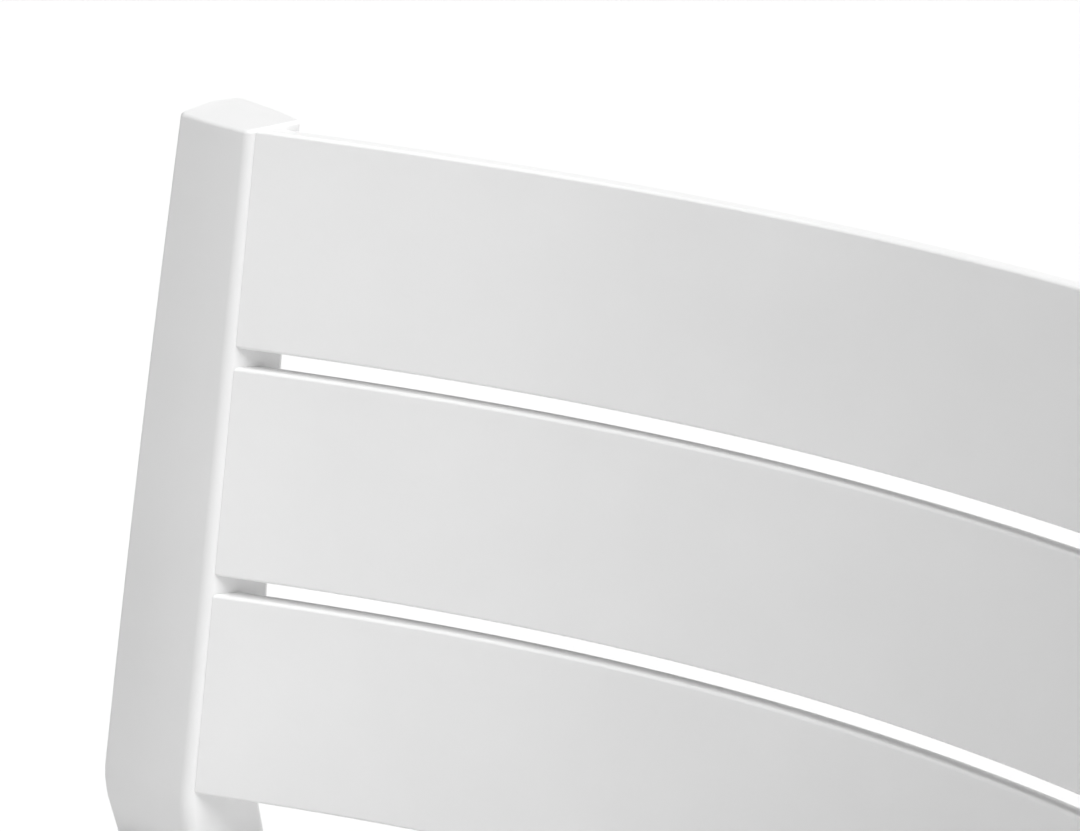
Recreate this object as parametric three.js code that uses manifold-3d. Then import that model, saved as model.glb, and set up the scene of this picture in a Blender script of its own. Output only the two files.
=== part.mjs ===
// A two-seat garden bench with a bowed back of three wide slats.
// Millimetres, +Z up. The bench faces -Y, and left and right are as seen from the front,
// so left is -X. The origin is on the ground, under the centre of the bench.

import * as THREE from "three";
import { mergeVertices } from "three/addons/utils/BufferGeometryUtils.js";
import Module from "manifold-3d";

const wasm = await Module();
wasm.setup();

// ---------------------------------------------------------------- driving dimensions

const CLEARANCE = 0.3; // between two pieces that touch

// Back: slats bowed backwards in plan, set in a plane that leans back
const BACK_LEAN = THREE.MathUtils.degToRad(11.5);
const BACK_SLAT_NAMES = ["back_slat_top", "back_slat_middle", "back_slat_bottom"];
const SLAT_HEIGHT = 140;
const SLAT_SPACING = 12.4;
const SLAT_THICKNESS = 13.7;
const SLAT_EDGE_RADIUS = 2.4;
const BOW_HALF_LENGTH = 490.6; // along the slat's front face, from its middle to its end
const BOW_RADIUS = 714; // in the middle of the bow
const BOW_EASING = 0.684; // share of the curvature that is lost from the middle to the ends
const BOW_STATIONS = 28;

// Rear legs: post and leg in one, with a bend just above the seat
const TOP_HEIGHT = 905;
const BEND_HEIGHT = 454;
const BEND_HALF_ZONE = 16; // above and below the bend, where the leg turns
const LEG_RAKE = THREE.MathUtils.degToRad(10.5);
// Easing is the share of the change towards the top that comes late, or early if negative.
const POST_WIDTH = { top: 59.2, bend: 77.2, foot: 43, easing: 0.45 };
const POST_INNER_DEPTH = { top: 32.5, bend: 49, foot: 33, easing: -0.6 };
const LEG_EASING = 0.3; // the same, from the bend down to the foot
const POST_FRONT_STEP = 4.7; // the front face stands this far ahead of the slats
const POST_CROWN_ANGLE = THREE.MathUtils.degToRad(4); // the front face bulges by this on each side
const POST_CROWN_REACH = 0.27; // length of each half of the bulge's arc, as a share of the width
const POST_INNER_ANGLE = THREE.MathUtils.degToRad(22); // inner face, turned inwards from -Y to +Y
const POST_REAR_SLOPE = 0.164; // the rear face runs backwards towards the outer side
const POST_REAR_CROWN = 0.032; // height of the rear face's bulge, as a share of the width
const POST_CHAMFER_WIDTH = 0.2; // of the rear outer corner, as a share of the width
const POST_CHAMFER_START = 0.58; // where it leaves the outer side, as a share of the depth
const POST_SIDE_LEAN = 0.028; // the outer side leans in by this share of the width
const POST_FRONT_OUTER_RADIUS = 4;
const POST_FRONT_INNER_RADIUS = { top: 7.2, bend: 10.5, foot: 7, easing: 0 };
const POST_REAR_INNER_RADIUS = 3;
const POST_CHAMFER_RADIUS = 5.5;

// Seat: four slats along the bench on a plane that falls slightly to the back
const SEAT_FRONT_HEIGHT = 425;
const SEAT_FALL = THREE.MathUtils.degToRad(2.5);
const SEAT_FRONT_REACH = 590; // from the middle of the bow's top edge to the front of the seat
const SEAT_REAR_GAP = 3; // from the rear edge of the seat to the surface that the back slats lie in
const SEAT_SLAT_DEPTH = 94;
const SEAT_SLAT_SPACING = 12.4;
const SEAT_SLAT_THICKNESS = 14;
const SEAT_HALF_LENGTH = 536;
const SEAT_NOSE_RADIUS = 9;
const STRAIGHT_SEAT_SLATS = 3;

// Front legs
const FRONT_LEG_OUTER = 538; // from the middle of the bench
const FRONT_LEG_WIDTH = { top: 56, foot: 40 };
const FRONT_LEG_DEPTH = { top: 44, foot: 36 };
const FRONT_LEG_SETBACK = 3; // behind the front edge of the seat
const FRONT_LEG_INNER_RADIUS = 8;
const FRONT_LEG_OUTER_RADIUS = 12;

// Seat frame
const ANGLE_THICKNESS = 4;
const ANGLE_FLANGE = 30;
const SIDE_RAIL_HEIGHT = 42;
const SIDE_RAIL_OUTER = 514;
const BEARER_HEIGHT = 26;
const BEARER_OFFSET = 250; // of the outer bearers, from the middle of the bench
const BEARER_END_SETBACK = 16; // from the rear edge of the seat
const FRONT_RAIL = { setback: 9, thickness: 20, height: 46 };
const REAR_RAIL = { front: -208, thickness: 18, height: 32 };
const RAIL_EDGE_RADIUS = 3;

// Fasteners and feet
const SCREW = { headRadius: 4.8, headHeight: 3, shankRadius: 2.5, reach: 9 };
const SCREW_SIDES = 12;
const SCREW_HOLE_RADIUS = SCREW.shankRadius + CLEARANCE;
const FIRST_SCREW_SHIFT = 18; // clears the front leg
const GLIDE_HEIGHT = 4;
const GLIDE_INSET = 1.5;

// ---------------------------------------------------------------- materials

function coating(color, roughness, metalness) {
  return () => new THREE.MeshStandardMaterial({ color, roughness, metalness });
}

const whiteCoating = coating(0xf1f1f0, 0.5, 0);
const stainlessSteel = coating(0xb9bbbd, 0.32, 1);
const greyNylon = coating(0xb4b5b6, 0.6, 0);

// ---------------------------------------------------------------- geometry helpers

// Points round a polygon whose corners are [x, y, radius, steps], each corner an arc.
function roundedLoop(corners) {
  const points = [];
  corners.forEach(([x, y, radius, steps], i) => {
    const corner = new THREE.Vector2(x, y);
    const before = new THREE.Vector2(...corners.at(i - 1).slice(0, 2)).sub(corner).normalize();
    const next = corners[(i + 1) % corners.length];
    const after = new THREE.Vector2(...next.slice(0, 2)).sub(corner).normalize();
    if (!radius) {
      points.push(corner);
      return;
    }
    const half = Math.acos(THREE.MathUtils.clamp(before.dot(after), -1, 1)) / 2;
    const tangent = radius / Math.tan(half);
    const start = corner.clone().addScaledVector(before, tangent);
    const middle = before.clone().add(after).normalize();
    const centre = corner.clone().addScaledVector(middle, radius / Math.sin(half));
    const arm = start.sub(centre);
    const turn = Math.PI - 2 * half;
    const sign = Math.sign(before.x * after.y - before.y * after.x);
    for (let k = 0; k <= steps; k++) {
      const angle = (-sign * turn * k) / steps;
      points.push(arm.clone().rotateAround(new THREE.Vector2(), angle).add(centre));
    }
  });
  return points;
}

// A closed solid through loops that hold the same number of points.
function loft(loops) {
  const count = loops[0].length;
  const positions = loops.flat().flatMap((p) => [p.x, p.y, p.z]);
  const index = [];
  for (let ring = 0; ring + 1 < loops.length; ring++) {
    for (let i = 0; i < count; i++) {
      const a = ring * count + i;
      const b = ring * count + ((i + 1) % count);
      index.push(a, b, b + count, a, b + count, a + count);
    }
  }
  closeEnd(loops[0], 0, index, true);
  closeEnd(loops.at(-1), (loops.length - 1) * count, index, false);
  const geometry = new THREE.BufferGeometry();
  geometry.setAttribute("position", new THREE.Float32BufferAttribute(positions, 3));
  geometry.setIndex(index);
  return facingOut(geometry);
}

// Adds the triangles that close one end loop to an index.
function closeEnd(loop, firstVertex, index, reversed) {
  const normal = new THREE.Vector3();
  loop.forEach((p, i) => normal.add(p.clone().cross(loop[(i + 1) % loop.length])));
  normal.normalize();
  const across = new THREE.Vector3().subVectors(loop[1], loop[0]).normalize();
  const up = normal.clone().cross(across);
  const flat = loop.map((p) => new THREE.Vector2(p.dot(across), p.dot(up)));
  for (const [a, b, c] of THREE.ShapeUtils.triangulateShape(flat, [])) {
    const triangle = reversed ? [a, c, b] : [a, b, c];
    index.push(...triangle.map((i) => i + firstVertex));
  }
}

function signedVolume(geometry) {
  const at = geometry.getAttribute("position");
  const index = geometry.getIndex();
  const [a, b, c] = [new THREE.Vector3(), new THREE.Vector3(), new THREE.Vector3()];
  let volume = 0;
  for (let i = 0; i < index.count; i += 3) {
    a.fromBufferAttribute(at, index.getX(i));
    b.fromBufferAttribute(at, index.getX(i + 1));
    c.fromBufferAttribute(at, index.getX(i + 2));
    volume += a.dot(b.cross(c)) / 6;
  }
  return volume;
}

function facingOut(geometry) {
  if (signedVolume(geometry) < 0) {
    const index = geometry.getIndex().array;
    for (let i = 0; i < index.length; i += 3) {
      [index[i + 1], index[i + 2]] = [index[i + 2], index[i + 1]];
    }
  }
  return geometry;
}

function toSolid(geometry) {
  const plain = geometry.clone();
  plain.deleteAttribute("normal");
  plain.deleteAttribute("uv");
  const merged = mergeVertices(plain, 1e-3);
  return new wasm.Manifold(
    new wasm.Mesh({
      numProp: 3,
      vertProperties: new Float32Array(merged.getAttribute("position").array),
      triVerts: new Uint32Array(merged.getIndex().array),
    }),
  );
}

function toGeometry(solid) {
  const mesh = solid.getMesh();
  const geometry = new THREE.BufferGeometry();
  geometry.setAttribute("position", new THREE.BufferAttribute(mesh.vertProperties, mesh.numProp));
  geometry.setIndex(new THREE.BufferAttribute(mesh.triVerts, 1));
  return geometry;
}

// The geometry with every cutter taken out of it.
function cut(geometry, cutters) {
  return toGeometry(cutters.reduce((solid, cutter) => solid.subtract(toSolid(cutter)), toSolid(geometry)));
}

// The same geometry on the other side of the bench.
function mirrored(geometry) {
  return facingOut(geometry.clone().applyMatrix4(new THREE.Matrix4().makeScale(-1, 1, 1)));
}

const bench = new THREE.Group();

function addPiece(name, geometry, material) {
  geometry.computeVertexNormals();
  const mesh = new THREE.Mesh(geometry, material());
  mesh.name = name;
  bench.add(mesh);
  return mesh;
}

function addPair(name, geometry, material) {
  addPiece(`${name}_left`, geometry, material);
  addPiece(`${name}_right`, mirrored(geometry), material);
}

// ---------------------------------------------------------------- the bow of the back

// Heading of the bow at a distance along it from the middle. The curvature falls off
// from the middle to the ends as a parabola.
function bowHeading(along) {
  const share = along / BOW_HALF_LENGTH;
  return (along / BOW_RADIUS) * (1 - (BOW_EASING * share * share) / 3);
}

// Position on the bow in plan, with the middle at (0, 0) and the ends in front of it.
function bowPoint(along) {
  const steps = 60;
  const step = along / steps;
  let x = 0;
  let back = 0;
  for (let i = 0; i < steps; i++) {
    const heading = bowHeading((i + 0.5) * step);
    x += Math.cos(heading) * step;
    back -= Math.sin(heading) * step;
  }
  return { x, back, heading: bowHeading(along) };
}

const BOW_END = bowPoint(BOW_HALF_LENGTH);
const BOW_TOP_HEIGHT = TOP_HEIGHT + BOW_END.back * Math.sin(BACK_LEAN);

// A point of the leaning back: across, backwards and up from the middle of the bow's top edge.
function backPoint(x, back, up) {
  return new THREE.Vector3(
    x,
    back * Math.cos(BACK_LEAN) + up * Math.sin(BACK_LEAN),
    BOW_TOP_HEIGHT - back * Math.sin(BACK_LEAN) + up * Math.cos(BACK_LEAN),
  );
}

// ---------------------------------------------------------------- rear legs

const POST_TOP = backPoint(BOW_END.x, BOW_END.back, 0);
const BEND_REACH = POST_TOP.y - (TOP_HEIGHT - BEND_HEIGHT) * Math.tan(BACK_LEAN);

// Distance above or below the bend, with the corner at the bend rounded off.
function foldedHeight(z) {
  const height = Math.abs(z - BEND_HEIGHT);
  return height > BEND_HALF_ZONE ? height : (height ** 2 + BEND_HALF_ZONE ** 2) / (2 * BEND_HALF_ZONE);
}

// The front inner edge of a rear leg, which the slats end at: how far back it is at a height.
function legLine(z) {
  const lean = Math.tan(BACK_LEAN);
  const rake = Math.tan(LEG_RAKE);
  return BEND_REACH + ((lean - rake) / 2) * (z - BEND_HEIGHT) + ((lean + rake) / 2) * foldedHeight(z);
}

// A size of the rear leg at a height, largest at the bend.
function legSize(size, z) {
  const above = z > BEND_HEIGHT;
  const run = foldedHeight(z) / (above ? TOP_HEIGHT - BEND_HEIGHT : BEND_HEIGHT);
  const easing = above ? size.easing : LEG_EASING;
  return size.bend - (size.bend - (above ? size.top : size.foot)) * run * (1 - easing + easing * run);
}

// The inner face of a rear leg: its distance from the middle of the bench.
function legInnerFace(y, z) {
  return POST_TOP.x - (y - legLine(z)) * Math.tan(POST_INNER_ANGLE);
}

// Height of the blunt ridge along the front face, before the arc that rounds it.
function postCrown(width) {
  return (width / 2) * Math.tan(POST_CROWN_ANGLE);
}

// The foremost line of a rear leg: how far back it is at a height.
function legFront(z) {
  return legLine(z) - POST_FRONT_STEP - postCrown(legSize(POST_WIDTH, z)) * (1 - POST_CROWN_REACH);
}

// Level section of the left rear leg, drawn in from its outline by an inset.
function rearLegLoop(z, inset = 0) {
  const width = legSize(POST_WIDTH, z);
  const inner = legSize(POST_INNER_DEPTH, z);
  const innerX = inner * Math.sin(POST_INNER_ANGLE);
  const innerY = inner * Math.cos(POST_INNER_ANGLE);
  const cornerX = -POST_FRONT_STEP * Math.tan(POST_INNER_ANGLE);
  const crown = postCrown(width);
  const crownRadius = (width * POST_CROWN_REACH) / Math.tan(POST_CROWN_ANGLE);
  const rearCrown = width * POST_REAR_CROWN;
  const chamferX = -width * (1 - POST_CHAMFER_WIDTH);
  const rearY = innerY + (innerX - chamferX) * POST_REAR_SLOPE;
  const sideX = -width * (1 - POST_SIDE_LEAN);
  const sideY = rearY * POST_CHAMFER_START;
  const frontInnerRadius = legSize(POST_FRONT_INNER_RADIUS, z);
  const corners = [
    [-width + inset, -POST_FRONT_STEP + inset, POST_FRONT_OUTER_RADIUS - inset, 3],
    [-width / 2, -POST_FRONT_STEP - crown + inset, crownRadius, 3],
    [cornerX - inset, -POST_FRONT_STEP + inset, frontInnerRadius - inset, 5],
    [innerX - inset, innerY - inset, POST_REAR_INNER_RADIUS - inset, 2],
    [(innerX + chamferX) / 2, (innerY + rearY) / 2 + rearCrown - inset, crownRadius, 3],
    [chamferX + inset / 2, rearY - inset, POST_CHAMFER_RADIUS - inset, 3],
    [sideX + inset, sideY - inset / 2, POST_CHAMFER_RADIUS - inset, 3],
  ];
  return roundedLoop(corners).map((p) => new THREE.Vector3(p.x - POST_TOP.x, p.y + legLine(z), z));
}

function rearLegHeights() {
  const heights = [];
  const foot = GLIDE_HEIGHT + CLEARANCE;
  const bendBottom = BEND_HEIGHT - BEND_HALF_ZONE;
  const bendTop = BEND_HEIGHT + BEND_HALF_ZONE;
  for (let i = 0; i < 4; i++) heights.push(THREE.MathUtils.lerp(foot, bendBottom, i / 4));
  for (let i = 0; i < 6; i++) heights.push(THREE.MathUtils.lerp(bendBottom, bendTop, i / 6));
  for (let i = 0; i <= 5; i++) heights.push(THREE.MathUtils.lerp(bendTop, TOP_HEIGHT, i / 5));
  return heights;
}

function addRearLegs() {
  addPair("rear_leg", loft(rearLegHeights().map((z) => rearLegLoop(z))), whiteCoating);
  const glide = loft([0, GLIDE_HEIGHT].map((z) => rearLegLoop(z, GLIDE_INSET)));
  addPair("rear_glide", glide, greyNylon);
}

// ---------------------------------------------------------------- back slats

// The end of a slat, cut along the inner face of the rear leg. Points come in at the last
// straight station of the bow and slide along the slat until they meet the face.
function slatEnd(points, side) {
  const { heading } = bowPoint(side * BOW_HALF_LENGTH);
  const along = backPoint(Math.cos(heading), -Math.sin(heading), 0).sub(backPoint(0, 0, 0));
  const down = backPoint(0, 0, -1).sub(backPoint(0, 0, 0));
  const level = new THREE.Vector3(-side * Math.sin(POST_INNER_ANGLE), Math.cos(POST_INNER_ANGLE), 0);
  const inwards = level.cross(down).normalize();
  if (inwards.x * side > 0) inwards.negate();
  const corner = backPoint(side * BOW_END.x, BOW_END.back, 0).addScaledVector(inwards, CLEARANCE);
  return points.map((p) => {
    const slide = corner.clone().sub(p).dot(inwards) / along.dot(inwards);
    return p.clone().addScaledVector(along, slide);
  });
}

function backSlat(topEdge) {
  const radius = SLAT_EDGE_RADIUS;
  const section = roundedLoop([
    [0, topEdge, radius, 2],
    [SLAT_THICKNESS, topEdge, radius, 2],
    [SLAT_THICKNESS, topEdge - SLAT_HEIGHT, radius, 2],
    [0, topEdge - SLAT_HEIGHT, radius, 2],
  ]);
  const loops = [];
  for (let i = 0; i <= BOW_STATIONS; i++) {
    const along = THREE.MathUtils.lerp(-BOW_HALF_LENGTH, BOW_HALF_LENGTH, i / BOW_STATIONS);
    const { x, back, heading } = bowPoint(along);
    const across = Math.sin(heading);
    const behind = Math.cos(heading);
    const loop = section.map((p) => backPoint(x + p.x * across, back + p.x * behind, p.y));
    const side = i === 0 ? -1 : i === BOW_STATIONS ? 1 : 0;
    loops.push(side ? slatEnd(loop, side) : loop);
  }
  return loft(loops);
}

function addBackSlats() {
  BACK_SLAT_NAMES.forEach((name, i) => {
    addPiece(name, backSlat(-i * (SLAT_HEIGHT + SLAT_SPACING)), whiteCoating);
  });
}

// ---------------------------------------------------------------- the plane of the seat

const SEAT_FRONT_Y = -SEAT_FRONT_REACH;
const BACK_BOTTOM = -(BACK_SLAT_NAMES.length * SLAT_HEIGHT + (BACK_SLAT_NAMES.length - 1) * SLAT_SPACING);

// A point of the seat: across, back from the front edge, and up from the sitting surface.
function seatPoint(x, back, up) {
  return new THREE.Vector3(
    x,
    SEAT_FRONT_Y + back * Math.cos(SEAT_FALL) + up * Math.sin(SEAT_FALL),
    SEAT_FRONT_HEIGHT - back * Math.sin(SEAT_FALL) + up * Math.cos(SEAT_FALL),
  );
}

// How far behind the front edge, along the seat, something at a given y lies.
function seatBack(y, up = 0) {
  return (y - SEAT_FRONT_Y - up * Math.sin(SEAT_FALL)) / Math.cos(SEAT_FALL);
}

const UNDER_SLATS = -SEAT_SLAT_THICKNESS - CLEARANCE;

// Where the bow of the back stands over the seat, at a distance along the bow.
function seatRearEdge(along) {
  const { x, back } = bowPoint(along);
  return { x, back: seatBack(backPoint(x, back, BACK_BOTTOM).y) - SEAT_REAR_GAP };
}

// ---------------------------------------------------------------- front legs

const FRONT_LEG_TOP = seatPoint(0, 0, UNDER_SLATS).z;

function frontLegSize(size, z) {
  return THREE.MathUtils.mapLinear(z, 0, FRONT_LEG_TOP, size.foot, size.top);
}

function frontLegInner(z) {
  return FRONT_LEG_OUTER - frontLegSize(FRONT_LEG_WIDTH, z);
}

function frontLegRear(z) {
  return SEAT_FRONT_Y + FRONT_LEG_SETBACK + frontLegSize(FRONT_LEG_DEPTH, z);
}

// Level outline of the left front leg.
function frontLegOutline(z, inset = 0) {
  const front = SEAT_FRONT_Y + FRONT_LEG_SETBACK + inset;
  const outer = -FRONT_LEG_OUTER + inset;
  return roundedLoop([
    [outer, front, POST_FRONT_OUTER_RADIUS - inset, 3],
    [-frontLegInner(z) - inset, front, FRONT_LEG_INNER_RADIUS - inset, 4],
    [-frontLegInner(z) - inset, frontLegRear(z) - inset, POST_REAR_INNER_RADIUS - inset, 2],
    [outer, frontLegRear(z) - inset, FRONT_LEG_OUTER_RADIUS - inset, 4],
  ]);
}

function addFrontLegs() {
  const underSeat = (y) => seatPoint(0, seatBack(y), UNDER_SLATS).z;
  const top = frontLegOutline(FRONT_LEG_TOP).map((p) => new THREE.Vector3(p.x, p.y, underSeat(p.y)));
  const foot = GLIDE_HEIGHT + CLEARANCE;
  const bottom = frontLegOutline(foot).map((p) => new THREE.Vector3(p.x, p.y, foot));
  addPair("front_leg", loft([bottom, top]), whiteCoating);
  const glide = [0, GLIDE_HEIGHT].map((z) => {
    return frontLegOutline(foot, GLIDE_INSET).map((p) => new THREE.Vector3(p.x, p.y, z));
  });
  addPair("front_glide", loft(glide), greyNylon);
}

// ---------------------------------------------------------------- seat frame

// Section of an angle bar under the slats, with its web on the far side of the flange.
function angleSection(webX, height) {
  return [
    [webX, UNDER_SLATS],
    [webX, UNDER_SLATS - height],
    [webX - ANGLE_THICKNESS, UNDER_SLATS - height],
    [webX - ANGLE_THICKNESS, UNDER_SLATS - ANGLE_THICKNESS],
    [webX - ANGLE_FLANGE, UNDER_SLATS - ANGLE_THICKNESS],
    [webX - ANGLE_FLANGE, UNDER_SLATS],
  ];
}

// A bar along the seat plane whose ends follow front(z) and rear(z).
function seatBar(section, front, rear) {
  const end = (limit) => {
    return section.map(([x, up]) => {
      let back = 0;
      for (let pass = 0; pass < 4; pass++) back = seatBack(limit(seatPoint(x, back, up).z), up);
      return seatPoint(x, back, up);
    });
  };
  return loft([end(front), end(rear)]);
}

function screwHole(x, back) {
  const top = seatPoint(x, back, UNDER_SLATS + SCREW.reach + 2 * CLEARANCE);
  const bottom = seatPoint(x, back, UNDER_SLATS - ANGLE_THICKNESS - 1);
  const depth = top.distanceTo(bottom);
  const hole = new THREE.CylinderGeometry(SCREW_HOLE_RADIUS, SCREW_HOLE_RADIUS, depth, SCREW_SIDES);
  hole.rotateX(Math.PI / 2 - SEAT_FALL);
  const middle = top.clone().add(bottom).divideScalar(2);
  return hole.translate(middle.x, middle.y, middle.z);
}

function seatScrew(x, back) {
  const { headRadius, headHeight, shankRadius, reach } = SCREW;
  const under = UNDER_SLATS - ANGLE_THICKNESS - CLEARANCE;
  const profile = [
    [0, under - headHeight],
    [headRadius * 0.7, under - headHeight],
    [headRadius, under - headHeight * 0.45],
    [headRadius, under],
    [shankRadius, under],
    [shankRadius, UNDER_SLATS + reach],
    [0, UNDER_SLATS + reach],
  ];
  const screw = new THREE.LatheGeometry(profile.map(([r, h]) => new THREE.Vector2(r, h)), SCREW_SIDES);
  screw.rotateX(Math.PI / 2 - SEAT_FALL);
  const foot = seatPoint(x, back, 0);
  screw.translate(foot.x, foot.y, foot.z);
  screw.deleteAttribute("normal");
  screw.deleteAttribute("uv");
  return mergeVertices(screw, 1e-3);
}

function railSection(front, thickness, top, height) {
  return roundedLoop([
    [front, top, RAIL_EDGE_RADIUS, 2],
    [front + thickness, top, RAIL_EDGE_RADIUS, 2],
    [front + thickness, top - height, RAIL_EDGE_RADIUS, 2],
    [front, top - height, RAIL_EDGE_RADIUS, 2],
  ]);
}

// A bar across the bench whose ends follow the inner faces of two legs.
function crossBar(section, innerFace) {
  const end = (side) => {
    return section.map((p) => new THREE.Vector3(side * (innerFace(p.x, p.y) - CLEARANCE * 1.2), p.x, p.y));
  };
  return loft([end(-1), end(1)]);
}

const frontRailFront = SEAT_FRONT_Y + FRONT_LEG_SETBACK + FRONT_RAIL.setback;
const frontRailRear = frontRailFront + FRONT_RAIL.thickness;

function addRails() {
  const frontTop = seatPoint(0, seatBack(frontRailRear), UNDER_SLATS).z;
  const frontSection = railSection(frontRailFront, FRONT_RAIL.thickness, frontTop, FRONT_RAIL.height);
  addPiece("front_rail", crossBar(frontSection, (y, z) => frontLegInner(z)), whiteCoating);
  const rearY = REAR_RAIL.front + REAR_RAIL.thickness;
  const rearTop = seatPoint(0, seatBack(rearY), UNDER_SLATS - BEARER_HEIGHT).z - CLEARANCE;
  const rearSection = railSection(REAR_RAIL.front, REAR_RAIL.thickness, rearTop, REAR_RAIL.height);
  addPiece("rear_rail", crossBar(rearSection, legInnerFace), whiteCoating);
}

// ---------------------------------------------------------------- seat

// Where each slat starts behind the front edge, and where its screws go.
const slatStart = (i) => i * (SEAT_SLAT_DEPTH + SEAT_SLAT_SPACING);

function slatScrewBack(i) {
  if (i === 0) return SEAT_SLAT_DEPTH / 2 + FIRST_SCREW_SHIFT;
  if (i < STRAIGHT_SEAT_SLATS) return slatStart(i) + SEAT_SLAT_DEPTH / 2;
  return (slatStart(i) + seatRearEdge(BOW_HALF_LENGTH).back) / 2;
}

// The five bars that carry the slats: the place of the web, the height, the screws' line
// and the ends.
function supports() {
  const screwShift = -(ANGLE_FLANGE - ANGLE_THICKNESS) / 2 - ANGLE_THICKNESS;
  const bearer = (name, middle) => {
    const webX = middle + ANGLE_FLANGE / 2;
    const along = bowDistanceAt(middle);
    const rearY = seatPoint(0, seatRearEdge(along).back - BEARER_END_SETBACK, 0).y;
    return {
      name: `seat_bearer_${name}`,
      short: name,
      section: angleSection(webX, BEARER_HEIGHT),
      screwX: webX + screwShift,
      front: () => frontRailRear + CLEARANCE,
      rear: () => rearY,
    };
  };
  const side = {
    section: angleSection(SIDE_RAIL_OUTER, SIDE_RAIL_HEIGHT),
    screwX: SIDE_RAIL_OUTER + screwShift,
    front: (z) => frontLegRear(z) + CLEARANCE,
    rear: (z) => legFront(z) - CLEARANCE,
  };
  const flip = (section) => section.map(([x, up]) => [-x, up]);
  return [
    { ...side, name: "side_rail_left", short: "left", section: flip(side.section), screwX: -side.screwX },
    bearer("inner_left", -BEARER_OFFSET),
    bearer("centre", 0),
    bearer("inner_right", BEARER_OFFSET),
    { ...side, name: "side_rail_right", short: "right" },
  ];
}

// Distance along the bow at which it is x from the middle of the bench.
function bowDistanceAt(x) {
  let along = x;
  for (let pass = 0; pass < 20; pass++) along += x - bowPoint(along).x;
  return along;
}

function seatSlatSection(start, end, nose) {
  const radius = SLAT_EDGE_RADIUS;
  return roundedLoop([
    [start, 0, nose, 4],
    [end, 0, radius, 2],
    [end, -SEAT_SLAT_THICKNESS, radius, 2],
    [start, -SEAT_SLAT_THICKNESS, radius, 2],
  ]);
}

function straightSeatSlat(i) {
  const nose = i === 0 ? SEAT_NOSE_RADIUS : SLAT_EDGE_RADIUS;
  const section = seatSlatSection(slatStart(i), slatStart(i) + SEAT_SLAT_DEPTH, nose);
  return loft([-1, 1].map((side) => section.map((p) => seatPoint(side * SEAT_HALF_LENGTH, p.x, p.y))));
}

// The rear slat, with a straight front edge and a rear edge that follows the bow.
function rearSeatSlat() {
  const start = slatStart(STRAIGHT_SEAT_SLATS);
  const endEdge = seatRearEdge(BOW_HALF_LENGTH).back;
  const stations = [{ x: -SEAT_HALF_LENGTH, back: endEdge }];
  for (let i = 0; i <= BOW_STATIONS; i++) {
    stations.push(seatRearEdge(THREE.MathUtils.lerp(-BOW_HALF_LENGTH, BOW_HALF_LENGTH, i / BOW_STATIONS)));
  }
  stations.push({ x: SEAT_HALF_LENGTH, back: endEdge });
  return loft(
    stations.map(({ x, back }) => {
      return seatSlatSection(start, back, SLAT_EDGE_RADIUS).map((p) => seatPoint(x, p.x, p.y));
    }),
  );
}

function addSeat() {
  const bars = supports();
  const slats = [];
  for (let i = 0; i < STRAIGHT_SEAT_SLATS; i++) slats.push(straightSeatSlat(i));
  slats.push(rearSeatSlat());
  slats.forEach((slat, i) => {
    const holes = bars.map((bar) => screwHole(bar.screwX, slatScrewBack(i)));
    addPiece(`seat_slat_${i + 1}`, cut(slat, holes), whiteCoating);
  });
  for (const bar of bars) {
    const holes = slats.map((_, i) => screwHole(bar.screwX, slatScrewBack(i)));
    addPiece(bar.name, cut(seatBar(bar.section, bar.front, bar.rear), holes), whiteCoating);
    slats.forEach((_, i) => {
      addPiece(`screw_${bar.short}_${i + 1}`, seatScrew(bar.screwX, slatScrewBack(i)), stainlessSteel);
    });
  }
}

// ---------------------------------------------------------------- assembly

addRearLegs();
addBackSlats();
addFrontLegs();
addRails();
addSeat();

// Stand the bench on the ground with its box centred on the origin.
const part = new THREE.Group();
part.add(bench);
const box = new THREE.Box3().setFromObject(bench);
bench.position.set(0, -(box.min.y + box.max.y) / 2, -box.min.z);

export default part;
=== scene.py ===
import math

import bmesh
import bpy
from mathutils import Matrix, Vector


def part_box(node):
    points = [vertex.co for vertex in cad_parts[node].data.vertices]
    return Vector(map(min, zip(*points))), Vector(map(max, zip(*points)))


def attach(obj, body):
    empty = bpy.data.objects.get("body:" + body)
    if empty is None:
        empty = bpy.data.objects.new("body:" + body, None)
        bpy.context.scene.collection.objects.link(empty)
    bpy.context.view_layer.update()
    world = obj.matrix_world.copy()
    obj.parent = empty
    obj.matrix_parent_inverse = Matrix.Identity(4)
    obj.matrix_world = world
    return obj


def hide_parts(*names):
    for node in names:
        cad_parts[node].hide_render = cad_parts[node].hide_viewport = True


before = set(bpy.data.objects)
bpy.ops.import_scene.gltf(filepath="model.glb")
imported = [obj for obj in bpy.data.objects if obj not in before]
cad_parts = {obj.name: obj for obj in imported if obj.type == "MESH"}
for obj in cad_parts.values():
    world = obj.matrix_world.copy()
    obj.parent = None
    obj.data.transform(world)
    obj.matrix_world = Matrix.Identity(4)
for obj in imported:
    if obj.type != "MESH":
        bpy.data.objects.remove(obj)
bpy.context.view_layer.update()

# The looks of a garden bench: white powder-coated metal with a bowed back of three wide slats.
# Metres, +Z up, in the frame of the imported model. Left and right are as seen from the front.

MM = 0.001

# ------------------------------------------------------------------ sizes, as in the frame

CLEARANCE = 0.3 * MM

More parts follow.
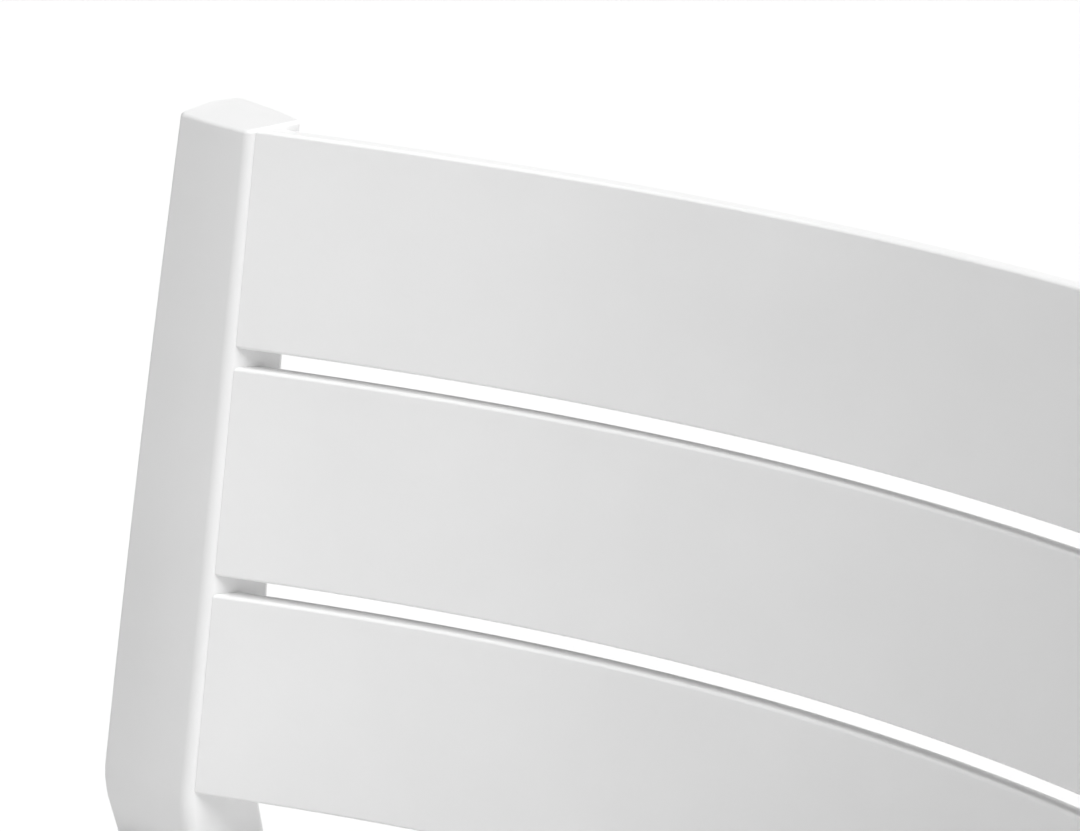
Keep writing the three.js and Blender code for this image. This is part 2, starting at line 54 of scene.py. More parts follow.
BACK_LEAN = math.radians(11.5)
BACK_SLATS = ("back_slat_top", "back_slat_middle", "back_slat_bottom")
SLAT_HEIGHT = 140 * MM
SLAT_SPACING = 12.4 * MM
SLAT_THICKNESS = 13.7 * MM
SLAT_EDGE_RADIUS = 2.4 * MM
SLAT_END_RADIUS = 0.25 * MM
WELD_GAP = 0.05 * MM  # what is left between two welded pieces after the coating
BOW_HALF_LENGTH = 490.6 * MM  # along the slat's front face, from its middle to its end
BOW_RADIUS = 714 * MM  # in the middle of the bow
BOW_EASING = 0.684  # share of the curvature that is lost from the middle to the ends
BOW_STATIONS = 96
BOW_STEPS = 60  # short straight steps that add up to a stretch of the bow
MITRE_LENGTH = 26 * MM  # the straight stretch that the slanted end is cut in

TOP_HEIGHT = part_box("rear_leg_left")[1].z
BEND_HEIGHT = 454 * MM
BEND_HALF_ZONE = 16 * MM  # above and below the bend, where the leg turns
LEG_RAKE = math.radians(10.5)
# Easing is the share of the change towards the top that comes late, or early if negative.
POST_WIDTH = {"top": 59.2 * MM, "bend": 77.2 * MM, "foot": 43 * MM, "easing": 0.45}
POST_INNER_DEPTH = {"top": 32.5 * MM, "bend": 49 * MM, "foot": 33 * MM, "easing": -0.6}
LEG_EASING = 0.3  # the same, from the bend down to the foot
POST_FRONT_STEP = 4.7 * MM  # the front face stands this far ahead of the slats
POST_CROWN_ANGLE = math.radians(4)  # the front face bulges by this on each side
POST_CROWN_REACH = 0.27  # each half of the bulge's arc, as a share of the width
POST_INNER_ANGLE = math.radians(22)  # inner face, turned inwards from front to rear
POST_REAR_SLOPE = 0.164  # the rear face runs backwards towards the outer side
POST_REAR_CROWN = 0.032  # height of the rear face's bulge, as a share of the width
POST_CHAMFER_WIDTH = 0.2  # of the rear outer corner, as a share of the width
POST_CHAMFER_START = 0.58  # where it leaves the outer side, as a share of the depth
POST_SIDE_LEAN = 0.028  # the outer side leans in by this share of the width
POST_FRONT_OUTER_RADIUS = 4 * MM
POST_FRONT_INNER_RADIUS = {"top": 7.2 * MM, "bend": 10.5 * MM, "foot": 7 * MM, "easing": 0}
POST_REAR_INNER_RADIUS = 3 * MM
POST_CHAMFER_RADIUS = 5.5 * MM
CAP_EDGE_RADIUS = 2.4 * MM
FOOT_EDGE_RADIUS = 1 * MM

SEAT_FRONT_REACH = 590 * MM  # from the middle of the bow's top edge to the front of the seat
SEAT_FRONT_HEIGHT = 425 * MM
SEAT_FALL = math.radians(2.5)
SEAT_REAR_GAP = 3 * MM  # from the rear edge to the surface that the back slats lie in
SEAT_SLAT_DEPTH = 94 * MM
SEAT_SLAT_SPACING = 12.4 * MM
SEAT_SLAT_THICKNESS = 14 * MM
SEAT_HALF_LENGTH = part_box("seat_slat_1")[1].x
SEAT_NOSE_RADIUS = 9 * MM
STRAIGHT_SEAT_SLATS = 3
UNDER_SLATS = -SEAT_SLAT_THICKNESS - CLEARANCE

FRONT_LEG_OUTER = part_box("front_leg_right")[1].x
FRONT_LEG_WIDTH = {"top": 56 * MM, "foot": 40 * MM}
FRONT_LEG_DEPTH = {"top": 44 * MM, "foot": 36 * MM}
FRONT_LEG_SETBACK = 3 * MM
FRONT_LEG_INNER_RADIUS = 8 * MM
FRONT_LEG_OUTER_RADIUS = 12 * MM
SEAT_FRONT_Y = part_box("front_leg_left")[0].y - FRONT_LEG_SETBACK

ANGLE_THICKNESS = 4 * MM
ANGLE_FLANGE = 30 * MM
ANGLE_ROOT_RADIUS = 3 * MM
ANGLE_EDGE_RADIUS = 0.8 * MM
RAIL_EDGE_RADIUS = 3 * MM
SIDE_RAIL_HEIGHT = 42 * MM
BEARER_HEIGHT = 26 * MM

SCREW_SIDES = 36
SCREW_HEAD_RADIUS = 4.8 * MM
SCREW_HEAD_HEIGHT = 3 * MM
SCREW_RIM = 0.35  # share of the head's height that stands upright, below its rounding
SCREW_FACE = 0.62  # share of the head's radius inside its rounding
SCREW_SHANK_RADIUS = 2.5 * MM
SCREW_REACH = 9 * MM
SCREW_TIP_LENGTH = 1 * MM
SCREW_TIP_TAPER = 0.8
HEX_SOCKET_RADIUS = 1.75 * MM
HEX_SOCKET_DEPTH = 1.6 * MM
HEX_SOCKET_MOUTH = 1.35  # radius of the countersink round the socket, as a share of the socket's
GLIDE_INSET = 1.5 * MM
GLIDE_FOOT_RADIUS = 1 * MM
GLIDE_TOP_RADIUS = 0.4 * MM

SHARP_ANGLE = math.radians(35)  # edges sharper than this aren't shaded smooth

# ------------------------------------------------------------------ materials

NOISE_LOW = 0.3  # noise rarely goes below this
NOISE_HIGH = 0.7  # or above this


class Nodes:
    """A material's node tree, with one call per node."""

    def __init__(self, name):
        self.material = bpy.data.materials.new(name)
        self.material.use_nodes = True
        self.tree = self.material.node_tree
        self.shader = self.tree.nodes["Principled BSDF"]

    def add(self, kind, inputs=(), **settings):
        node = self.tree.nodes.new(kind)
        for key, value in settings.items():
            setattr(node, key, value)
        for key, value in dict(inputs).items():
            if isinstance(value, bpy.types.NodeSocket):
                self.tree.links.new(value, node.inputs[key])
            else:
                node.inputs[key].default_value = value
        return node

    def link(self, output, socket):
        self.tree.links.new(output, self.shader.inputs[socket])

    def noise(self, scale, detail=2.0, roughness=0.5, stretch=(1, 1, 1)):
        place = self.add("ShaderNodeTexCoord").outputs["Object"]
        if stretch != (1, 1, 1):
            place = self.add("ShaderNodeMapping", {"Vector": place, "Scale": stretch}).outputs[0]
        inputs = {"Vector": place, "Scale": scale, "Detail": detail, "Roughness": roughness}
        return self.add("ShaderNodeTexNoise", inputs).outputs["Fac"]

    def between(self, factor, low, high):
        """A number from low to high as the noise goes through its usual range."""
        inputs = {"Value": factor, "From Min": NOISE_LOW, "From Max": NOISE_HIGH}
        inputs.update({"To Min": low, "To Max": high})
        return self.add("ShaderNodeMapRange", inputs, clamp=True).outputs["Result"]

    def shades(self, factor, dark, light):
        """A colour from dark to light in the same way."""
        ramp = self.add("ShaderNodeValToRGB", {"Fac": factor})
        ramp.color_ramp.elements[0].position = NOISE_LOW
        ramp.color_ramp.elements[0].color = (*dark, 1)
        ramp.color_ramp.elements[1].position = NOISE_HIGH
        ramp.color_ramp.elements[1].color = (*light, 1)
        return ramp.outputs["Color"]

    def bump(self, height, distance, strength, under=None):
        inputs = {"Height": height, "Distance": distance, "Strength": strength}
        if under is not None:
            inputs["Normal"] = under
        return self.add("ShaderNodeBump", inputs).outputs["Normal"]


def white_coating():
    """Powder coating: satin white, a fine grain over a shallow orange peel."""
    nodes = Nodes("white_coating")
    tone = nodes.noise(7, 3)
    nodes.link(nodes.shades(tone, (0.77, 0.77, 0.77), (0.8, 0.8, 0.8)), "Base Color")
    nodes.link(nodes.between(nodes.noise(60, 3), 0.42, 0.54), "Roughness")
    peel = nodes.bump(nodes.noise(140, 1), 0.4 * MM, 0.12)
    grain = nodes.bump(nodes.noise(850, 3, 0.6), 0.15 * MM, 0.25, peel)
    nodes.link(grain, "Normal")
    nodes.shader.inputs["Specular IOR Level"].default_value = 0.4
    return nodes.material


def stainless_steel():
    """Finely brushed."""
    nodes = Nodes("stainless_steel")
    tone = nodes.noise(300, 2)
    nodes.link(nodes.shades(tone, (0.52, 0.53, 0.54), (0.64, 0.65, 0.66)), "Base Color")
    nodes.link(nodes.between(nodes.noise(900, 3), 0.24, 0.4), "Roughness")
    nodes.link(nodes.bump(nodes.noise(1500, 2, stretch=(1, 1, 6)), 0.03 * MM, 0.3), "Normal")
    nodes.shader.inputs["Metallic"].default_value = 1
    return nodes.material


def grey_nylon():
    """Moulded, with a fine grain."""
    nodes = Nodes("grey_nylon")
    tone = nodes.noise(90, 3)
    nodes.link(nodes.shades(tone, (0.42, 0.42, 0.43), (0.5, 0.5, 0.51)), "Base Color")
    nodes.link(nodes.between(nodes.noise(400, 2), 0.5, 0.68), "Roughness")
    nodes.link(nodes.bump(nodes.noise(1100, 2), 0.08 * MM, 0.3), "Normal")
    return nodes.material


def pale_floor():
    nodes = Nodes("pale_floor")
    tone = nodes.noise(2, 2)
    nodes.link(nodes.shades(tone, (0.795, 0.795, 0.795), (0.805, 0.805, 0.805)), "Base Color")
    nodes.shader.inputs["Roughness"].default_value = 0.9
    nodes.shader.inputs["Specular IOR Level"].default_value = 0.1
    return nodes.material


COATING = white_coating()
STEEL = stainless_steel()
NYLON = grey_nylon()

# ------------------------------------------------------------------ mesh helpers


def rounded_loop(corners):
    """Points round a polygon whose corners are (x, y, radius, steps), each corner an arc."""
    points = []
    for i, (x, y, radius, steps) in enumerate(corners):
        corner = Vector((x, y))
        before = (Vector(corners[i - 1][:2]) - corner).normalized()
        after = (Vector(corners[(i + 1) % len(corners)][:2]) - corner).normalized()
        half = before.angle(after) / 2
        centre = corner + (before + after).normalized() * (radius / math.sin(half))
        arm = corner + before * (radius / math.tan(half)) - centre
        turn = math.copysign(math.pi - 2 * half, -before.cross(after))
        for k in range(steps + 1):
            points.append(centre + Matrix.Rotation(turn * k / steps, 2) @ arm)
    return points


def inset_loop(points, inset):
    """The same outline drawn in by an inset smaller than its radii."""
    if not inset:
        return points
    following = points[1:] + points[:1]
    inwards = math.copysign(1, sum(a.cross(b) for a, b in zip(points, following)))
    moved = []
    for i, (point, after) in enumerate(zip(points, following)):
        normals = []
        for way in (point - points[i - 1], after - point):
            normals.append(Vector((-way.y, way.x)).normalized() * inwards)
        middle = (normals[0] + normals[1]).normalized()
        moved.append(point + middle * (inset / middle.dot(normals[0])))
    return moved


def rounding(radius, steps=5):
    """(inset, distance from the end) of the loops that round an end off, outermost last."""
    turns = [math.pi / 2 * k / steps for k in range(steps + 1)]
    return [(radius * (1 - math.cos(a)), radius * (1 - math.sin(a))) for a in turns]


def loft(loops):
    """A closed bmesh through loops that hold the same number of points."""
    mesh = bmesh.new()
    rings = [[mesh.verts.new(p) for p in loop] for loop in loops]
    for low, high in zip(rings, rings[1:]):
        for i in range(len(low)):
            mesh.faces.new((low[i - 1], low[i], high[i], high[i - 1]))
    mesh.faces.new(rings[0])
    mesh.faces.new(rings[-1])
    bmesh.ops.recalc_face_normals(mesh, faces=mesh.faces)
    return mesh


def mirrored(loops):
    return [[Vector((-p.x, p.y, p.z)) for p in loop] for loop in loops]


def add_piece(node, mesh, material):
    """A finished piece that stands for a CAD node."""
    data = bpy.data.meshes.new(node + "_finished")
    mesh.to_mesh(data)
    mesh.free()
    data.materials.append(material)
    data.shade_smooth()
    data.set_sharp_from_angle(angle=SHARP_ANGLE)
    piece = bpy.data.objects.new(node + "_finished", data)
    bpy.context.scene.collection.objects.link(piece)
    piece.modifiers.new("even_shading", "WEIGHTED_NORMAL").keep_sharp = True
    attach(piece, "root")
    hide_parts(node)


def add_coated(node, loops):
    add_piece(node, loft(loops), COATING)


def add_coated_pair(node, left_loops):
    add_coated(node + "_left", left_loops)
    add_coated(node + "_right", mirrored(left_loops))


# ------------------------------------------------------------------ the bow of the back


def bow_heading(along):
    """How far the bow has turned at a distance from its middle."""
    share = along / BOW_HALF_LENGTH
    return along / BOW_RADIUS * (1 - BOW_EASING * share * share / 3)


def bow_point(along):
    """(x, distance backwards, heading) on the bow in plan, at a distance from its middle."""
    step = along / BOW_STEPS
    x = back = 0
    for i in range(BOW_STEPS):
        heading = bow_heading((i + 0.5) * step)
        x += math.cos(heading) * step
        back -= math.sin(heading) * step
    return x, back, bow_heading(along)


BOW_END_X, BOW_END_BACK, BOW_END_HEADING = bow_point(BOW_HALF_LENGTH)
BOW_MIDDLE_Y = SEAT_FRONT_Y + SEAT_FRONT_REACH
BOW_MIDDLE_Z = TOP_HEIGHT + BOW_END_BACK * math.sin(BACK_LEAN)


def back_point(x, back, up):
    """A point of the leaning back, from the middle of the bow's top edge."""
    lean_sin, lean_cos = math.sin(BACK_LEAN), math.cos(BACK_LEAN)
    y = BOW_MIDDLE_Y + back * lean_cos + up * lean_sin
    return Vector((x, y, BOW_MIDDLE_Z - back * lean_sin + up * lean_cos))


# ------------------------------------------------------------------ rear legs

POST_TOP = back_point(BOW_END_X, BOW_END_BACK, 0)
BEND_Y = POST_TOP.y - (TOP_HEIGHT - BEND_HEIGHT) * math.tan(BACK_LEAN)


def folded_height(z):
    """Distance above or below the bend, with the corner at the bend rounded off."""
    height = abs(z - BEND_HEIGHT)
    if height > BEND_HALF_ZONE:
        return height
    return (height * height + BEND_HALF_ZONE * BEND_HALF_ZONE) / (2 * BEND_HALF_ZONE)


def leg_line(z):
    """How far back the front inner edge of a rear leg is at a height."""
    lean, rake = math.tan(BACK_LEAN), math.tan(LEG_RAKE)
    return BEND_Y + (lean - rake) / 2 * (z - BEND_HEIGHT) + (lean + rake) / 2 * folded_height(z)


def leg_size(size, z):
    """A size of the rear leg at a height, largest at the bend."""
    above = z > BEND_HEIGHT
    end = size["top"] if above else size["foot"]
    run = folded_height(z) / (TOP_HEIGHT - BEND_HEIGHT if above else BEND_HEIGHT)
    easing = size["easing"] if above else LEG_EASING
    return size["bend"] - (size["bend"] - end) * run * (1 - easing + easing * run)


def leg_inner_face(y, z):
    """The inner face of a rear leg: its distance from the middle of the bench."""
    return POST_TOP.x - (y - leg_line(z)) * math.tan(POST_INNER_ANGLE)


def leg_front(z):
    """The foremost line of a rear leg: how far back it is at a height."""
    ridge = leg_size(POST_WIDTH, z) / 2 * math.tan(POST_CROWN_ANGLE)
    return leg_line(z) - POST_FRONT_STEP - ridge * (1 - POST_CROWN_REACH)


def rear_leg_loop(z, inset=0.0):
    """Level section of the left rear leg, drawn in from its outline by an inset."""
    width = leg_size(POST_WIDTH, z)
    ridge = width / 2 * math.tan(POST_CROWN_ANGLE)
    crown_radius = width * POST_CROWN_REACH / math.tan(POST_CROWN_ANGLE)
    inner = leg_size(POST_INNER_DEPTH, z)
    inner_x, inner_y = inner * math.sin(POST_INNER_ANGLE), inner * math.cos(POST_INNER_ANGLE)
    front_x = -POST_FRONT_STEP * math.tan(POST_INNER_ANGLE)
    rear_crown = width * POST_REAR_CROWN
    chamfer_x = -width * (1 - POST_CHAMFER_WIDTH)
    rear_y = inner_y + (inner_x - chamfer_x) * POST_REAR_SLOPE
    side_x, side_y = -width * (1 - POST_SIDE_LEAN), rear_y * POST_CHAMFER_START
    outline = rounded_loop(
        [
            (-width, -POST_FRONT_STEP, POST_FRONT_OUTER_RADIUS, 8),
            (-width / 2, -POST_FRONT_STEP - ridge, crown_radius, 10),
            (front_x, -POST_FRONT_STEP, leg_size(POST_FRONT_INNER_RADIUS, z), 12),
            (inner_x, inner_y, POST_REAR_INNER_RADIUS, 6),
            ((inner_x + chamfer_x) / 2, (inner_y + rear_y) / 2 + rear_crown, crown_radius, 10),
            (chamfer_x, rear_y, POST_CHAMFER_RADIUS, 8),
            (side_x, side_y, POST_CHAMFER_RADIUS, 6),
        ]
    )
    line = leg_line(z)
    return [Vector((p.x - POST_TOP.x, p.y + line, z)) for p in inset_loop(outline, inset)]


def evenly(start, end, count):
    """Evenly spaced numbers from the start on, without the end."""
    return [start + (end - start) * i / count for i in range(count)]


def add_rear_legs():
    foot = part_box("rear_leg_left")[0].z
    bend_bottom, bend_top = BEND_HEIGHT - BEND_HALF_ZONE, BEND_HEIGHT + BEND_HALF_ZONE
    heights = evenly(foot + FOOT_EDGE_RADIUS, bend_bottom, 14)
    heights += evenly(bend_bottom, bend_top, 14)
    heights += evenly(bend_top, TOP_HEIGHT - CAP_EDGE_RADIUS, 14)
    loops = [rear_leg_loop(foot + up, inset) for inset, up in reversed(rounding(FOOT_EDGE_RADIUS))]
    loops += [rear_leg_loop(z) for z in heights[1:]]
    loops += [rear_leg_loop(TOP_HEIGHT - down, inset) for inset, down in rounding(CAP_EDGE_RADIUS)]
    add_coated_pair("rear_leg", loops)
    add_glides("rear_glide", lambda z, inset: rear_leg_loop(z, GLIDE_INSET + inset))


def add_glides(node, section):
    """Nylon pads under a pair of legs, rounded where they meet the ground."""
    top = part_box(node + "_left")[1].z
    loops = [section(up, inset) for inset, up in reversed(rounding(GLIDE_FOOT_RADIUS))]
    loops += [section(top - down, inset) for inset, down in rounding(GLIDE_TOP_RADIUS, 3)]
    add_piece(node + "_left", loft(loops), NYLON)
    add_piece(node + "_right", loft(mirrored(loops)), NYLON)


# ------------------------------------------------------------------ back slats


def slat_end(points, side, gap):
    """The points of a slat's loop, slid along it to a gap from the leg's inner face."""
    heading = side * BOW_END_HEADING
    origin = back_point(0, 0, 0)
    along = back_point(math.cos(heading), -math.sin(heading), 0) - origin
    down = back_point(0, 0, -1) - origin
    level = Vector((-side * math.sin(POST_INNER_ANGLE), math.cos(POST_INNER_ANGLE), 0))
    inwards = level.cross(down).normalized()
    if inwards.x * side > 0:
        inwards.negate()
    corner = back_point(side * BOW_END_X, BOW_END_BACK, 0) + inwards * gap
    return [p + along * ((corner - p).dot(inwards) / along.dot(inwards)) for p in points]


def add_back_slat(node, top_edge):
    """A slat along the bow, from one leg to the other."""
    low = top_edge - SLAT_HEIGHT
    corners = [(0, top_edge), (SLAT_THICKNESS, top_edge), (SLAT_THICKNESS, low), (0, low)]
    section = rounded_loop([(x, y, SLAT_EDGE_RADIUS, 6) for x, y in corners])

    def loop_at(along, inset=0.0):
        x, back, heading = bow_point(along)
        points = inset_loop(section, inset)
        return [
            back_point(x + p.x * math.sin(heading), back + p.x * math.cos(heading), p.y)
            for p in points
        ]

    def end_loops(side):
        loops = []
        for inset, gap in rounding(SLAT_END_RADIUS, 3):
            points = loop_at(side * BOW_HALF_LENGTH, inset)
            loops.append(slat_end(points, side, WELD_GAP + gap))
        return loops

    reach = BOW_HALF_LENGTH - MITRE_LENGTH
    middle = [loop_at(-reach + 2 * reach * i / BOW_STATIONS) for i in range(BOW_STATIONS + 1)]
    add_coated(node, end_loops(-1)[::-1] + middle + end_loops(1))


def add_back_slats():
    for i, node in enumerate(BACK_SLATS):
        add_back_slat(node, -i * (SLAT_HEIGHT + SLAT_SPACING))


# ------------------------------------------------------------------ seat


def seat_point(x, back, up):
    """A point of the seat: across, back from the front edge, up from the sitting surface."""
    fall_sin, fall_cos = math.sin(SEAT_FALL), math.cos(SEAT_FALL)
    y = SEAT_FRONT_Y + back * fall_cos + up * fall_sin
    return Vector((x, y, SEAT_FRONT_HEIGHT - back * fall_sin + up * fall_cos))


def seat_back(y, up=0.0):
    """How far back from the seat's front edge a place is."""
    return (y - SEAT_FRONT_Y - up * math.sin(SEAT_FALL)) / math.cos(SEAT_FALL)


def seat_slat_section(start, end, nose):
    return rounded_loop(
        [
            (start, 0, nose, 8),
            (end, 0, SLAT_EDGE_RADIUS, 6),
            (end, -SEAT_SLAT_THICKNESS, SLAT_EDGE_RADIUS, 6),
            (start, -SEAT_SLAT_THICKNESS, SLAT_EDGE_RADIUS, 6),
        ]
    )


def add_seat_slat(node, stations, nose):
    """A slat through stations (x, start, end), with its two ends rounded off."""

    def loop_at(station, inset=0.0, x=None):
        station_x, start, end = station
        outline = inset_loop(seat_slat_section(start, end, nose), inset)
        return [seat_point(station_x if x is None else x, p.x, p.y) for p in outline]

    ends = rounding(SLAT_EDGE_RADIUS)
    left = [loop_at(stations[0], inset, stations[0][0] + gap) for inset, gap in reversed(ends)]
    right = [loop_at(stations[-1], inset, stations[-1][0] - gap) for inset, gap in ends]
    add_coated(node, left + [loop_at(s) for s in stations[1:-1]] + right)


def add_seat_slats():
    step = SEAT_SLAT_DEPTH + SEAT_SLAT_SPACING
    for i in range(STRAIGHT_SEAT_SLATS):
        start = i * step
        nose = SLAT_EDGE_RADIUS if i else SEAT_NOSE_RADIUS
        places = [-SEAT_HALF_LENGTH, -SEAT_HALF_LENGTH / 2, SEAT_HALF_LENGTH / 2, SEAT_HALF_LENGTH]
        add_seat_slat(f"seat_slat_{i + 1}", [(x, start, start + SEAT_SLAT_DEPTH) for x in places], nose)
    start = STRAIGHT_SEAT_SLATS * step
    low = -(len(BACK_SLATS) * SLAT_HEIGHT + (len(BACK_SLATS) - 1) * SLAT_SPACING)
    edge = []
    for i in range(BOW_STATIONS + 1):
        x, back, _ = bow_point(BOW_HALF_LENGTH * (2 * i / BOW_STATIONS - 1))
        edge.append((x, start, seat_back(back_point(x, back, low).y) - SEAT_REAR_GAP))
    first = (-SEAT_HALF_LENGTH, start, edge[0][2])
    last = (SEAT_HALF_LENGTH, start, edge[-1][2])
    add_seat_slat(f"seat_slat_{STRAIGHT_SEAT_SLATS + 1}", [first, *edge, last], SLAT_EDGE_RADIUS)


# ------------------------------------------------------------------ front legs

FRONT_LEG_TOP = seat_point(0, 0, UNDER_SLATS).z


def front_leg_size(size, z):
    return size["foot"] + (size["top"] - size["foot"]) * z / FRONT_LEG_TOP


def front_leg_inner(z):
    return FRONT_LEG_OUTER - front_leg_size(FRONT_LEG_WIDTH, z)


def front_leg_rear(z):
    return SEAT_FRONT_Y + FRONT_LEG_SETBACK + front_leg_size(FRONT_LEG_DEPTH, z)


def front_leg_outline(z, inset=0.0):
    """Level outline of the left front leg."""
    front = SEAT_FRONT_Y + FRONT_LEG_SETBACK
    outline = rounded_loop(
        [
            (-FRONT_LEG_OUTER, front, POST_FRONT_OUTER_RADIUS, 8),
            (-front_leg_inner(z), front, FRONT_LEG_INNER_RADIUS, 12),
            (-front_leg_inner(z), front_leg_rear(z), POST_REAR_INNER_RADIUS, 6),
            (-FRONT_LEG_OUTER, front_leg_rear(z), FRONT_LEG_OUTER_RADIUS, 14),
        ]
    )
    return inset_loop(outline, inset)


def add_front_legs():
    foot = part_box("front_leg_left")[0].z
    loops = []
    for inset, up in reversed(rounding(FOOT_EDGE_RADIUS)):
        loops.append([Vector((p.x, p.y, foot + up)) for p in front_leg_outline(foot, inset)])
    for z in evenly(foot, FRONT_LEG_TOP, 5)[1:]:
        loops.append([Vector((p.x, p.y, z)) for p in front_leg_outline(z)])
    top = front_leg_outline(FRONT_LEG_TOP)
    loops.append([Vector((p.x, p.y, seat_point(0, seat_back(p.y), UNDER_SLATS).z)) for p in top])
    add_coated_pair("front_leg", loops)

    def glide_section(z, inset):
        return [Vector((p.x, p.y, z)) for p in front_leg_outline(foot, GLIDE_INSET + inset)]

    add_glides("front_glide", glide_section)


# ------------------------------------------------------------------ seat frame


def angle_section(web_x, height, flipped=False):
    """Section of an angle bar under the slats, its web on the far side of its flange."""
    top, low = UNDER_SLATS, UNDER_SLATS - height
    edge, root = ANGLE_EDGE_RADIUS, ANGLE_ROOT_RADIUS
    outline = rounded_loop(
        [
            (web_x, top, root, 6),
            (web_x, low, edge, 3),
            (web_x - ANGLE_THICKNESS, low, edge, 3),
            (web_x - ANGLE_THICKNESS, top - ANGLE_THICKNESS, root, 6),
            (web_x - ANGLE_FLANGE, top - ANGLE_THICKNESS, edge, 3),
            (web_x - ANGLE_FLANGE, top, edge, 3),
        ]
    )
    return [Vector((-p.x if flipped else p.x, p.y)) for p in outline]


def add_seat_bar(node, section, front, rear):
    """A bar under the seat, from front to rear, whose ends follow front(z) and rear(z)."""

    def end(limit):
        points = []
        for p in section:
            back = 0.0
            # A few rounds, because the limit depends on the height, and that on the place.
            for _ in range(4):
                back = seat_back(limit(seat_point(p.x, back, p.y).z), p.y)
            points.append(seat_point(p.x, back, p.y))
        return points

    add_coated(node, [end(front), end(rear)])


def add_side_rails():
    def front(z):
        return front_leg_rear(z) + WELD_GAP

    def rear(z):
        return leg_front(z) - WELD_GAP

    for side, flipped in (("left", True), ("right", False)):
        node = "side_rail_" + side
        low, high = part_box(node)
        web_x = max(abs(low.x), abs(high.x))
        add_seat_bar(node, angle_section(web_x, SIDE_RAIL_HEIGHT, flipped), front, rear)


def add_seat_bearers():
    for place in ("inner_left", "centre", "inner_right"):
        node = "seat_bearer_" + place
        low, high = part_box(node)
        section = angle_section(high.x, BEARER_HEIGHT)
        add_seat_bar(node, section, lambda z: low.y, lambda z: high.y)


def add_cross_rail(node, inner_face):
    """A rail across the bench whose ends follow the inner faces of two legs."""
    low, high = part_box(node)
    corners = [(low.y, high.z), (high.y, high.z), (high.y, low.z), (low.y, low.z)]
    section = rounded_loop([(y, z, RAIL_EDGE_RADIUS, 6) for y, z in corners])

    def end(side):
        return [Vector((side * (inner_face(p.x, p.y) - WELD_GAP), p.x, p.y)) for p in section]

    add_coated(node, [end(-1), end(1)])


# ------------------------------------------------------------------ screws


def screw_mesh():
    """A pan-head screw with a hex socket, head down, its shank leaving the head at z = 0."""
    mesh = bmesh.new()
    head = [(SCREW_HEAD_RADIUS, 0), (SCREW_HEAD_RADIUS, -SCREW_RIM * SCREW_HEAD_HEIGHT)]
    steps = 6
    for k in range(1, steps):
        turn = math.pi / 2 * k / steps
        radius = SCREW_HEAD_RADIUS * (SCREW_FACE + (1 - SCREW_FACE) * math.cos(turn))
        depth = SCREW_HEAD_HEIGHT * (SCREW_RIM + (1 - SCREW_RIM) * math.sin(turn))
        head.append((radius, -depth))
    head.append((HEX_SOCKET_RADIUS * HEX_SOCKET_MOUTH, -SCREW_HEAD_HEIGHT))
    shank = [
        (SCREW_SHANK_RADIUS, 0),
        (SCREW_SHANK_RADIUS, SCREW_REACH),
        (SCREW_TIP_TAPER * SCREW_SHANK_RADIUS, SCREW_REACH + SCREW_TIP_LENGTH),
    ]

    def ring(radius, z, hexagon=False):
        verts = []
        for i in range(SCREW_SIDES):
            angle = 2 * math.pi * i / SCREW_SIDES
            reach = radius
            if hexagon:
                reach = radius / math.cos((angle + math.pi / 6) % (math.pi / 3) - math.pi / 6)
            verts.append(mesh.verts.new((reach * math.cos(angle), reach * math.sin(angle), z)))
        return verts

    rings = [ring(r, z) for r, z in reversed(shank)]
    rings += [ring(r, z) for r, z in head]
    rings.append(ring(HEX_SOCKET_RADIUS, -SCREW_HEAD_HEIGHT, hexagon=True))
    rings.append(ring(HEX_SOCKET_RADIUS, HEX_SOCKET_DEPTH - SCREW_HEAD_HEIGHT, hexagon=True))
    for low, high in zip(rings, rings[1:]):
        for i in range(SCREW_SIDES):
            mesh.faces.new((low[i - 1], low[i], high[i], high[i - 1]))
    mesh.faces.new(rings[0])
    mesh.faces.new(rings[-1])
    bmesh.ops.recalc_face_normals(mesh, faces=mesh.faces)
    return mesh


def add_screws():
    head_level = UNDER_SLATS - ANGLE_THICKNESS - CLEARANCE
    for node in sorted(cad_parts):
        if not node.startswith("screw_"):
            continue
        low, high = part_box(node)
        middle = (low + high) / 2
        back = seat_back(middle.y, head_level - SCREW_HEAD_HEIGHT / 2)
        mesh = screw_mesh()
        place = Matrix.Translation(seat_point(middle.x, back, head_level))
        mesh.transform(place @ Matrix.Rotation(-SEAT_FALL, 4, "X"))
        add_piece(node, mesh, STEEL)


# ------------------------------------------------------------------ studio

FLOOR_REACH = 30
WALL_TOP = math.radians(8)  # above the horizon
WALL_FADE_END = math.radians(11.5)
WALL_LIGHT = 1.02
CEILING_LIGHT = 0.03
CAMERA_LENS = 100.16
CAMERA_FROM_BOW_MIDDLE = Vector((0.7022, -1.4361, 0.6789))
CAMERA_TURN_LEFT = math.radians(36.24)
CAMERA_LOOK_DOWN = math.radians(26.0)


def add_floor():
    mesh = bmesh.new()
    bmesh.ops.create_grid(mesh, x_segments=8, y_segments=8, size=FLOOR_REACH)
    data = bpy.data.meshes.new("floor")
    mesh.to_mesh(data)
    mesh.free()
    data.materials.append(pale_floor())
    floor = bpy.data.objects.new("floor", data)
    bpy.context.scene.collection.objects.link(floor)


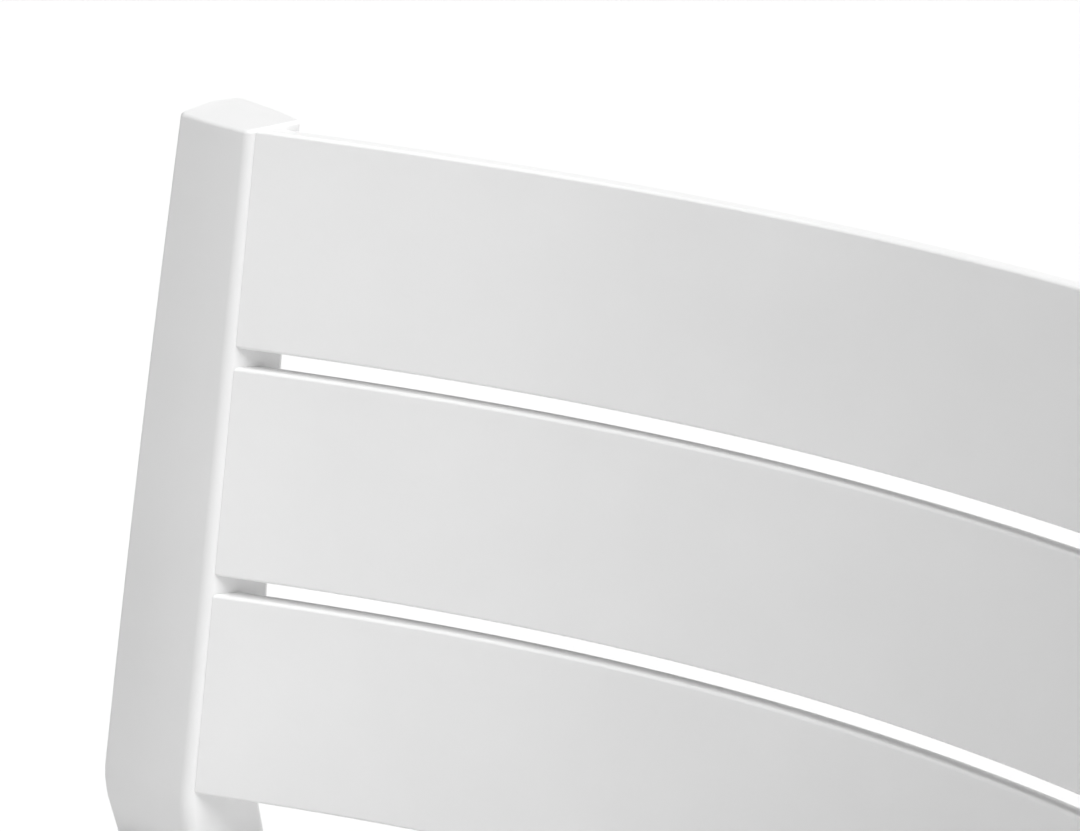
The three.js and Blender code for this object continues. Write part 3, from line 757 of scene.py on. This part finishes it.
def add_sun(name, azimuth, elevation, strength, spread):
    """A distant light, in degrees. Azimuth turns from the front of the bench to its right side."""
    light = bpy.data.lights.new(name, "SUN")
    light.energy = strength
    light.angle = math.radians(spread)
    holder = bpy.data.objects.new(name, light)
    holder.rotation_euler = (math.radians(90 - elevation), 0, math.radians(azimuth))
    bpy.context.scene.collection.objects.link(holder)


def add_studio_walls():
    """White all round up to a little above the horizon, and nearly dark over that."""
    world = bpy.data.worlds.new("studio")
    world.use_nodes = True
    tree = world.node_tree
    direction = tree.nodes.new("ShaderNodeTexCoord").outputs["Generated"]
    parts = tree.nodes.new("ShaderNodeSeparateXYZ")
    fade = tree.nodes.new("ShaderNodeMapRange")
    tree.links.new(direction, parts.inputs[0])
    tree.links.new(parts.outputs["Z"], fade.inputs["Value"])
    limits = {"From Min": math.sin(WALL_TOP), "From Max": math.sin(WALL_FADE_END)}
    limits.update({"To Min": WALL_LIGHT, "To Max": CEILING_LIGHT})
    for name, value in limits.items():
        fade.inputs[name].default_value = value
    background = tree.nodes["Background"]
    background.inputs["Color"].default_value = (1, 1, 1, 1)
    tree.links.new(fade.outputs["Result"], background.inputs["Strength"])
    bpy.context.scene.world = world


def add_lights():
    """A soft key from high on the right and slightly behind, a weak fill from the front right."""
    add_sun("key", azimuth=112, elevation=60, strength=3.9, spread=45)
    add_sun("front_fill", azimuth=22, elevation=42, strength=0.66, spread=60)
    add_studio_walls()
    bpy.context.scene.view_settings.view_transform = "Standard"


def add_camera():
    """In front of the bench on the right, looking down at the left corner of the back."""
    camera = bpy.data.cameras.new("camera")
    camera.sensor_width = 36
    camera.lens = CAMERA_LENS
    camera.clip_end = 200
    holder = bpy.data.objects.new("camera", camera)
    holder.location = Vector((0, BOW_MIDDLE_Y, BOW_MIDDLE_Z)) + CAMERA_FROM_BOW_MIDDLE
    holder.rotation_euler = (math.pi / 2 - CAMERA_LOOK_DOWN, 0, CAMERA_TURN_LEFT)
    bpy.context.scene.collection.objects.link(holder)
    bpy.context.scene.camera = holder


add_rear_legs()
add_back_slats()
add_seat_slats()
add_front_legs()
add_side_rails()
add_seat_bearers()
add_cross_rail("front_rail", lambda y, z: front_leg_inner(z))
add_cross_rail("rear_rail", leg_inner_face)
add_screws()
add_floor()
add_lights()
add_camera()
